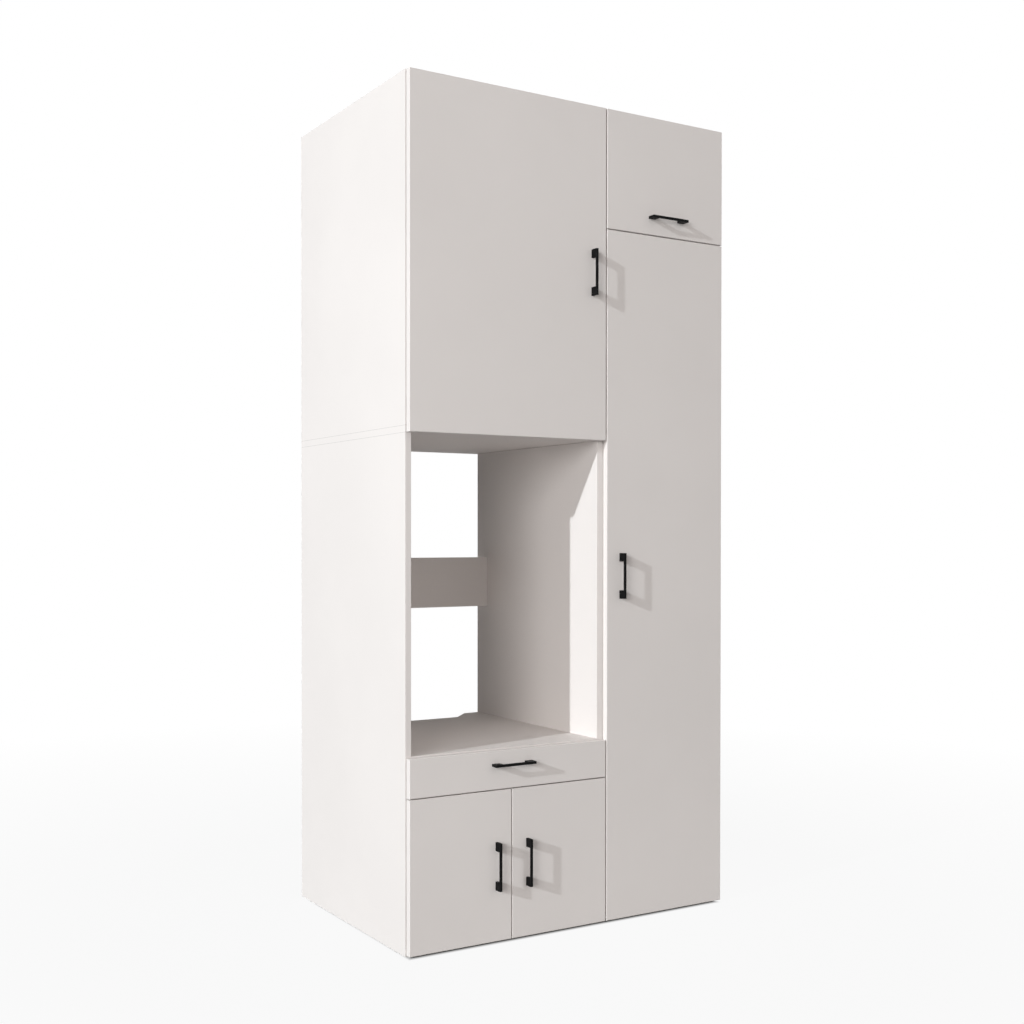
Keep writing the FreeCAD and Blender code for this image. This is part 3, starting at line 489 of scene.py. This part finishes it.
def sheet_finish(label):
    """Lacquered hardboard of a back: a faint screen pattern in the fibre, bare fibre along the sawn edges."""
    material, tree, shader = finish_tree(label + "_hardboard", BOARD_SHEEN)
    low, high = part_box(label)
    skin = use(tree, "melamine", {"Tint": INNER_WHITE, "Gloss Loss": BACK_GLOSS_LOSS})
    screen = streaks(tree, SCREEN_MESH)
    fibre = noise(tree, place_of(tree), per_metre=60.0, detail=5.0, roughness=0.65)
    colour = blend(tree, ramp(tree, fibre, low=0.45, high=0.8, stop=0.16), skin["Colour"], FIBRE_TAN)
    rim = use(tree, "panel_rim", {"Low": low, "High": high})
    frayed = maths(tree, "ADD", rim["Distance"], spread(tree, fibre, -SAWN_FRAY, SAWN_FRAY))
    colour = blend(tree, ramp(tree, frayed, SAWN_CORE, SAWN_FADE, 1.0, 0.0), colour, SAWN_FIBRE)
    dress(tree, shader, colour, skin["Roughness"], maths(tree, "ADD", screen, fibre), FIBRE_DEPTH)
    return material


def handle_finish():
    """Black powder coat: a fine even grain, a little greyer where fingers rub it."""
    material, tree, shader = finish_tree("handle_powder_coat", COAT_SHEEN)
    where = place_of(tree)
    grain = noise(tree, where, per_metre=1700.0)
    pits = node(tree, "TexVoronoi", {"Vector": where, "Scale": 1100.0}).outputs["Distance"]
    rubbed = noise(tree, where, per_metre=45.0, detail=3.0)
    colour = blend(tree, ramp(tree, rubbed, low=0.45, high=0.75), COAT_BLACK, COAT_RUBBED)
    rough = spread(tree, rubbed, 0.52, 0.42)
    dress(tree, shader, colour, rough, maths(tree, "ADD", grain, pits), COAT_DEPTH, COAT_RELIEF)
    return material


def plated_finish(name, tint, grain, gloss_loss):
    """Plated steel with its own tint, grain and gloss."""
    material, tree, shader = finish_tree(name)
    shader.inputs["Metallic"].default_value = 1.0
    skin = use(tree, "plating", {"Tint": tint, "Grain": grain, "Gloss Loss": gloss_loss})
    dress(tree, shader, skin["Colour"], skin["Roughness"], skin["Height"], PLATING_DEPTH)
    return material


def beech_finish():
    """Fluted beech dowel: pale fibres along the dowel."""
    material, tree, shader = finish_tree("dowel_beech")
    fibre = streaks(tree, BEECH_GRAIN, detail=4.0)
    colour = blend(tree, fibre, BEECH_BROWN, BEECH_PALE)
    dress(tree, shader, colour, spread(tree, fibre, 0.55, 0.7), fibre, BEECH_DEPTH)
    return material


def glide_finish():
    """Moulded plastic glides, scuffed underneath."""
    material, tree, shader = finish_tree("glide_plastic")
    scuff = noise(tree, place_of(tree), per_metre=300.0, detail=4.0, roughness=0.7)
    colour = blend(tree, ramp(tree, scuff, low=0.4, high=0.75), GLIDE_PALE, GLIDE_SCUFFED)
    dress(tree, shader, colour, spread(tree, scuff, 0.4, 0.6), scuff, SCUFF_DEPTH)
    return material


def paint(material, labels):
    """Give CAD nodes a finish."""
    for label in labels:
        NODES[label].data.materials.clear()
        NODES[label].data.materials.append(material)


def finish_boards():
    """Melamine on boards and fronts, foil on the drawer's box and lacquer on the backs."""
    ceiling = [corner.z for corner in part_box("niche_ceiling")]
    sides = {"front": CARCASS_FRONT, "raw": ("rear", "feet")}
    # Painted shade lines on the sides at the top and bottom of the niche ceiling, where it meets them
    paint(board_finish("jointed_side_board", WARM_WHITE, joints=ceiling, **sides), JOINTED_SIDES)
    paint(board_finish("side_board", WARM_WHITE, **sides), TALL_SIDES)
    paint(board_finish("lying_board", WARM_WHITE, CARCASS_FRONT, ("rear",)), LYING_BOARDS)
    paint(board_finish("shelf_board", WARM_WHITE, SHELF_FRONT, ("rear",)), SHELVES)
    paint(board_finish("standing_board", WARM_WHITE), STANDING_BOARDS)
    paint(board_finish("drawer_foil", INNER_WHITE), DRAWER_BOX)
    for label in FRONTS:
        paint(front_finish(label), [label])
    for label in BACKS:
        paint(sheet_finish(label), [label])


def finish_fittings(nickel, zinc, plastic):
    """Powder coat on the handles, plating on hinges, fasteners and runners, beech dowels, plastic glides."""
    paint(handle_finish(), HANDLES)
    paint(nickel.material, [*HINGE_STEEL, *HINGE_CUPS])
    paint(zinc.material, [*FASTENERS, *HANDLE_SCREWS])
    paint(plated_finish("runner_zinc", RUNNER_ZINC, RUNNER_GRAIN, ZINC_GLOSS_LOSS), RUNNERS)
    paint(beech_finish(), ["ceiling_dowels"])
    paint(plastic.material, ["floor_glides"])


# Shapes of the fittings

def add_object(name, data):
    """Put an object into the scene."""
    made = bpy.data.objects.new(name, data)
    bpy.context.scene.collection.objects.link(made)
    return made


def mesh_of(work, name):
    """Keep a bmesh as a named mesh."""
    mesh = bpy.data.meshes.new(name)
    work.to_mesh(mesh)
    work.free()
    return mesh


def turned(turning):
    """A closed solid turned about z from (radius, height) points that start and end on the axis."""
    work = bmesh.new()
    rings = []
    for radius, height in turning.profile:
        count = turning.sides if radius else 1
        angles = [math.tau * step / count for step in range(count)]
        rings.append([work.verts.new((radius * math.cos(angle), radius * math.sin(angle), height))
                      for angle in angles])
    for lower, upper in zip(rings, rings[1:]):
        for step in range(turning.sides):
            after = (step + 1) % turning.sides
            loop = [lower[step % len(lower)], lower[after % len(lower)],
                    upper[after % len(upper)], upper[step % len(upper)]]
            work.faces.new(list(dict.fromkeys(loop)))
    bmesh.ops.recalc_face_normals(work, faces=work.faces)
    return mesh_of(work, "turned")


def cross_recess(recess, top):
    """The tool that sinks a cross recess: two tapered blades, open at the top."""
    work = bmesh.new()
    levels = ((RECESS_FLOOR, top - recess.depth), (1.0, top), (1.0, top + recess.depth))
    for along, across in ((recess.reach, recess.width), (recess.width, recess.reach)):
        rings = []
        for share, height in levels:
            x = along / 2 * (share if along > across else 1)
            y = across / 2 * (share if across > along else 1)
            rings.append([work.verts.new((right * x, back * y, height))
                          for right, back in ((-1, -1), (1, -1), (1, 1), (-1, 1))])
        for lower, upper in zip(rings, rings[1:]):
            for step in range(4):
                after = (step + 1) % 4
                work.faces.new((lower[step], lower[after], upper[after], upper[step]))
        work.faces.new(rings[0][::-1])
        work.faces.new(rings[-1])
    bmesh.ops.recalc_face_normals(work, faces=work.faces)
    return mesh_of(work, "cross_recess")


def recessed(blank, tool):
    """Cut a tool out of a blank and return the new mesh."""
    block = add_object(blank.name, blank)
    cutter = add_object(tool.name, tool)
    cutting = block.modifiers.new("recess", "BOOLEAN")
    cutting.operation = "DIFFERENCE"
    cutting.solver = "EXACT"
    cutting.use_self = True
    cutting.object = cutter
    cut = block.evaluated_get(bpy.context.evaluated_depsgraph_get())
    made = bpy.data.meshes.new_from_object(cut)
    for item in (block, cutter):
        bpy.data.objects.remove(item)
    return made


def pan_screw(screw):
    """A pan head with a cross recess on a plain shank, its seat at z = 0."""
    radius, height = screw.head_radius, screw.head_height
    profile = [(radius * out, height * up) for out, up in PAN_HEAD]
    profile += [(screw.shank_radius, 0), (screw.shank_radius, -screw.shank_length * SHANK_SHARE),
                (0, -screw.shank_length)]
    recess = Recess(radius * RECESS_REACH, radius * RECESS_WIDTH, height * RECESS_DEPTH)
    return recessed(turned(Turning(profile, SCREW_SIDES)), cross_recess(recess, height))


# Places of the fittings

def solids(label):
    """The separate solids of a CAD node, each as the list of its points."""
    work = bmesh.new()
    work.from_mesh(NODES[label].data)
    bmesh.ops.remove_doubles(work, verts=work.verts, dist=SAME_POINT)
    met = set()
    found = []
    for first in work.verts:
        if first in met:
            continue
        met.add(first)
        reach = [first]
        for vert in reach:
            for edge in vert.link_edges:
                other = edge.other_vert(vert)
                if other not in met:
                    met.add(other)
                    reach.append(other)
        found.append([vert.co.copy() for vert in reach])
    work.free()
    return found


def extent(points):
    """Lowest corner, highest corner and middle of a solid's box."""
    low = Vector(min(point[axis] for point in points) for axis in (X, Y, Z))
    high = Vector(max(point[axis] for point in points) for axis in (X, Y, Z))
    return low, high, (low + high) / 2


def girth(points, axis, level, middle):
    """How wide a screw is at one level along its axis, as a squared radius."""
    rim = [point - middle for point in points if abs(point[axis] - level) < SAME_LEVEL]
    return max(sum(arm[other] ** 2 for other in (X, Y, Z) if other != axis) for arm in rim)


def screw_seats(label, screw):
    """Where the head of each screw of a node sits, and the way the head points: its wider end."""
    seats = []
    for points in solids(label):
        low, high, middle = extent(points)
        axis = max((X, Y, Z), key=lambda number: high[number] - low[number])
        head_high = girth(points, axis, high[axis], middle) > girth(points, axis, low[axis], middle)
        sign = 1 if head_high else -1
        way = Vector()
        way[axis] = sign
        spot = middle.copy()
        spot[axis] = (high if head_high else low)[axis] - sign * screw.head_height
        seats.append(Seat(spot, way))
    return seats


def fit_copies(name, master, seats, body, finish, replaced=None):
    """One piece of copies of a fitting, each turned a little further than the one before."""
    work = bmesh.new()
    for number, (spot, way) in enumerate(seats):
        known = len(work.verts)
        work.from_mesh(master)
        work.verts.ensure_lookup_table()
        stand = UP.rotation_difference(way).to_matrix().to_4x4()
        turn = Matrix.Rotation(number * RECESS_TURN, 4, "Z")
        bmesh.ops.transform(work, matrix=Matrix.Translation(spot) @ stand @ turn, verts=work.verts[known:])
    mesh = mesh_of(work, name)
    mesh.shade_smooth()
    mesh.set_sharp_from_angle(angle=SHARP_ANGLE)
    mesh.materials.append(finish.material)
    piece = add_object(name, mesh)
    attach(piece, body)
    if replaced:
        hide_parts(replaced)


def fit_plate_screws(zinc, plate_seats):
    """Screws that hold the hinge plates."""
    fit_copies("plate_pan_screws", pan_screw(PLATE_SCREW), plate_seats, "carcass", zinc, "plate_screws")


def fit_handle_screws(zinc):
    """Long screws through each front into its handle."""
    screw = pan_screw(HANDLE_SCREW)
    for label in HANDLE_SCREWS:
        fit_copies(label.replace("_screws", "_pan_screws"), screw, screw_seats(label, HANDLE_SCREW),
                   BODY_OF[label], zinc, label)


def fit_cup_screws(zinc):
    """Two small screws beside each hinge cup, along the edge of its front."""
    screw = pan_screw(CUP_SCREW)
    for label in HINGE_CUPS:
        seats = []
        for points in solids(label):
            low, high, middle = extent(points)
            along = Z if high.z - low.z > high.x - low.x else X
            for end in (-1, 1):
                spot = Vector((middle.x, high.y, middle.z))
                spot[along] += end * CUP_SCREW_OFFSET
                seats.append(Seat(spot, TO_WALL))
        fit_copies(label.replace("_hinge_cups", "_cup_screws"), screw, seats, BODY_OF[label], zinc)


def fit_arm_screws(nickel, plate_seats):
    """Two adjusting screws on each hinge arm, which lies over the wing of its plate."""
    seats = []
    for points in solids("hinge_plates"):
        _, _, middle = extent(points)
        beside = min(plate_seats, key=lambda seat: (seat.spot - middle).length)
        for setback in ARM_SCREW_SETBACKS:
            spot = Vector(level if across else centre
                          for level, centre, across in zip(beside.spot, middle, beside.way))
            spot += beside.way * ARM_OVER_WING
            spot.y = CARCASS_FRONT + setback
            seats.append(Seat(spot, beside.way))
    fit_copies("arm_adjusting_screws", pan_screw(ARM_SCREW), seats, "carcass", nickel)


def fit_cams(zinc):
    """Cam lock faces: flush with the underside of a lying board, or with the rear of a standing one."""
    seats = []
    for points in solids("cam_locks"):
        low, high, middle = extent(points)
        lies = high.z - low.z < high.x - low.x - CAM_MARGIN
        if lies:
            seats.append(Seat(Vector((middle.x, middle.y, low.z)), DOWN))
        else:
            seats.append(Seat(Vector((middle.x, high.y, middle.z)), TO_WALL))
    cam = recessed(turned(CAM), cross_recess(CAM_RECESS, 0))
    fit_copies("cam_lock_faces", cam, seats, "carcass", zinc, "cam_locks")


def screw_runners(zinc):
    """Screws that hold the drawer's runner members to its sides, their heads inside the channels."""
    low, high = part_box("drawer_runners")
    drawer_middle = (low.x + high.x) / 2
    seats = []
    for points in solids("drawer_runners"):
        low, high, middle = extent(points)
        on_right = low.x > drawer_middle
        web = low.x + RUNNER_SHEET if on_right else high.x - RUNNER_SHEET
        for share in RUNNER_SCREW_SHARES:
            spot = Vector((web, low.y + (high.y - low.y) * share, middle.z))
            seats.append(Seat(spot, RIGHT if on_right else LEFT))
    fit_copies("runner_screws", pan_screw(RUNNER_SCREW), seats, BODY_OF["drawer_runners"], zinc)


def round_pins(zinc):
    """Shelf pins with a rounded tip, each pointing from its side board to the middle of its shelf."""
    shelves = [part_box(label) for label in SHELVES]
    seats = []
    for points in solids("shelf_pins"):
        low, high, middle = extent(points)
        near, far = next(box for box in shelves if low.x < box[1].x and high.x > box[0].x)
        on_left = middle.x < (near.x + far.x) / 2
        root = low.x if on_left else high.x
        seats.append(Seat(Vector((root, middle.y, middle.z)), RIGHT if on_left else LEFT))
    fit_copies("rounded_shelf_pins", turned(SHELF_PIN), seats, "carcass", zinc, "shelf_pins")


def sleeve_connectors(zinc):
    """Connectors between the columns: at each end a flush head with a cross recess on half the shank."""
    seats = []
    for points in solids("unit_connectors"):
        low, high, middle = extent(points)
        for end, way in ((low.x, LEFT), (high.x, RIGHT)):
            seats.append(Seat(Vector((end, middle.y, middle.z)), way))
    half = recessed(turned(HALF_SLEEVE), cross_recess(SLEEVE_RECESS, 0))
    fit_copies("connector_sleeves", half, seats, "carcass", zinc, "unit_connectors")


def turn_glides(plastic):
    """Nail-on glides with a rounded rim under the side boards."""
    seats = []
    for points in solids("floor_glides"):
        low, _, middle = extent(points)
        seats.append(Seat(Vector((middle.x, middle.y, low.z)), UP))
    fit_copies("turned_glides", turned(GLIDE), seats, "carcass", plastic, "floor_glides")


def evenly(start, stop, step):
    """Points from start to stop, about a step apart."""
    count = max(1, round((stop - start) / step))
    return [start + (stop - start) * number / count for number in range(count + 1)]


def nail_backs(zinc):
    """Nails round the edges of the two back sheets."""
    margin = Vector((NAIL_INSET, 0, NAIL_INSET))
    seats = []
    for label in BACKS:
        low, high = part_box(label)
        near = low + margin
        far = high - margin
        across = evenly(near.x, far.x, NAIL_STEP)
        upward = evenly(near.z, far.z, NAIL_STEP)
        nails = [(x, z) for x in across for z in (near.z, far.z)]
        nails += [(x, z) for z in upward[1:-1] for x in (near.x, far.x)]
        seats += [Seat(Vector((x, high.y, z)), TO_WALL) for x, z in nails]
    fit_copies("back_nails", turned(NAIL_HEAD), seats, "carcass", zinc)


# Floor, light and camera

def seen_rays(tree):
    """One for rays from the camera and for mirrored or refracted ones, else zero."""
    path = node(tree, "LightPath").outputs
    mirrored = maths(tree, "MAXIMUM", path["Is Glossy Ray"], path["Is Transmission Ray"])
    return maths(tree, "MAXIMUM", path["Is Camera Ray"], mirrored)


def under_cabinet(tree):
    """Zero outside the cabinet's footprint, rising to one a little way in under it."""
    low = Vector((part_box("left_lower_side")[0].x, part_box("upper_door")[0].y, 0))
    high = Vector((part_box("tall_right_side")[1].x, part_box("base_back")[1].y, 0))
    return ramp(tree, inset(tree, low, high, X, Y), 0.0, SHADE_REACH)


def lay_floor():
    """A pale floor that fades to white away from the cabinet and keeps its shadow."""
    material = bpy.data.materials.new("studio_floor")
    material.use_nodes = True
    tree = material.node_tree
    tree.nodes.clear()
    matt = node(tree, "BsdfDiffuse", {"Color": FLOOR_GREY})
    white = node(tree, "Emission", {"Color": WHITE, "Strength": 1.0})
    away = node(tree, "VectorMath", {0: place_of(tree)}, operation="LENGTH").outputs["Value"]
    open_floor = maths(tree, "SUBTRACT", 1.0, under_cabinet(tree))
    faded = maths(tree, "MULTIPLY", ramp(tree, away, FADE_NEAR, FADE_FAR, NEAR_WHITE, 1.0), open_floor)
    share = maths(tree, "MULTIPLY", seen_rays(tree), faded)
    mixed = node(tree, "MixShader", {0: share, 1: matt.outputs[0], 2: white.outputs[0]})
    node(tree, "OutputMaterial", {"Surface": mixed.outputs[0]})
    work = bmesh.new()
    bmesh.ops.create_circle(work, cap_ends=True, segments=FLOOR_SIDES, radius=FLOOR_RADIUS)
    mesh = mesh_of(work, "studio_floor")
    mesh.materials.append(material)
    floor = add_object("studio_floor", mesh)


def light_room():
    """Soft light from the room in front of the cabinet, before a white background."""
    world = bpy.data.worlds.new("studio")
    world.use_nodes = True
    tree = world.node_tree
    tree.nodes.clear()
    seen = seen_rays(tree)
    towards_wall = part_of(tree, node(tree, "TexCoord").outputs["Generated"], Y)
    room = ramp(tree, towards_wall, *ROOM_TURN, *ROOM_STRENGTH)
    tint = blend(tree, seen, ROOM_TINT, WHITE)
    sky = node(tree, "Background", {"Color": tint, "Strength": maths(tree, "MAXIMUM", room, seen)})
    node(tree, "OutputWorld", {"Surface": sky.outputs[0]})
    bpy.context.scene.world = world


def hang_lamps():
    """Round lamps that face the middle of the cabinet."""
    for lamp in LAMPS:
        light = bpy.data.lights.new(lamp.name, "AREA")
        light.shape = "DISK"
        light.size = lamp.size
        light.energy = lamp.power
        light.color = lamp.colour
        stand = add_object(lamp.name, light)
        way = Vector(lamp.direction).normalized()
        stand.location = LAMP_AIM + way * lamp.distance
        stand.rotation_euler = way.to_track_quat("Z", "Y").to_euler()


def place_camera():
    """The camera of the photograph."""
    data = bpy.data.cameras.new("camera")
    data.sensor_width = CAMERA_SENSOR
    data.lens = CAMERA_LENS
    data.shift_x, data.shift_y = CAMERA_SHIFT
    camera = add_object("camera", data)
    camera.location = CAMERA_SPOT
    camera.rotation_euler = (math.radians(CAMERA_TILT), 0, math.radians(CAMERA_TURN))
    bpy.context.scene.camera = camera


# The scene

place_camera()
lay_floor()
light_room()
hang_lamps()
bpy.context.scene.view_settings.view_transform = "Standard"

for make_effect in (make_melamine, make_chipboard, make_rim, make_edge_band, make_joint_shade_line, make_plating):
    make_effect()
hinge_nickel = Finish(plated_finish("hinge_nickel", NICKEL, NICKEL_GRAIN, NICKEL_GLOSS_LOSS), "hinge_steel")
screw_zinc = Finish(plated_finish("fastener_zinc", ZINC, ZINC_GRAIN, ZINC_GLOSS_LOSS), "fastener_zinc")
foot_plastic = Finish(glide_finish(), "glide_plastic")
finish_boards()
finish_fittings(hinge_nickel, screw_zinc, foot_plastic)

seats_of_plates = screw_seats("plate_screws", PLATE_SCREW)
fit_plate_screws(screw_zinc, seats_of_plates)
fit_handle_screws(screw_zinc)
fit_cup_screws(screw_zinc)
fit_arm_screws(hinge_nickel, seats_of_plates)
fit_cams(screw_zinc)
screw_runners(screw_zinc)
round_pins(screw_zinc)
sleeve_connectors(screw_zinc)
turn_glides(foot_plastic)
nail_backs(screw_zinc)
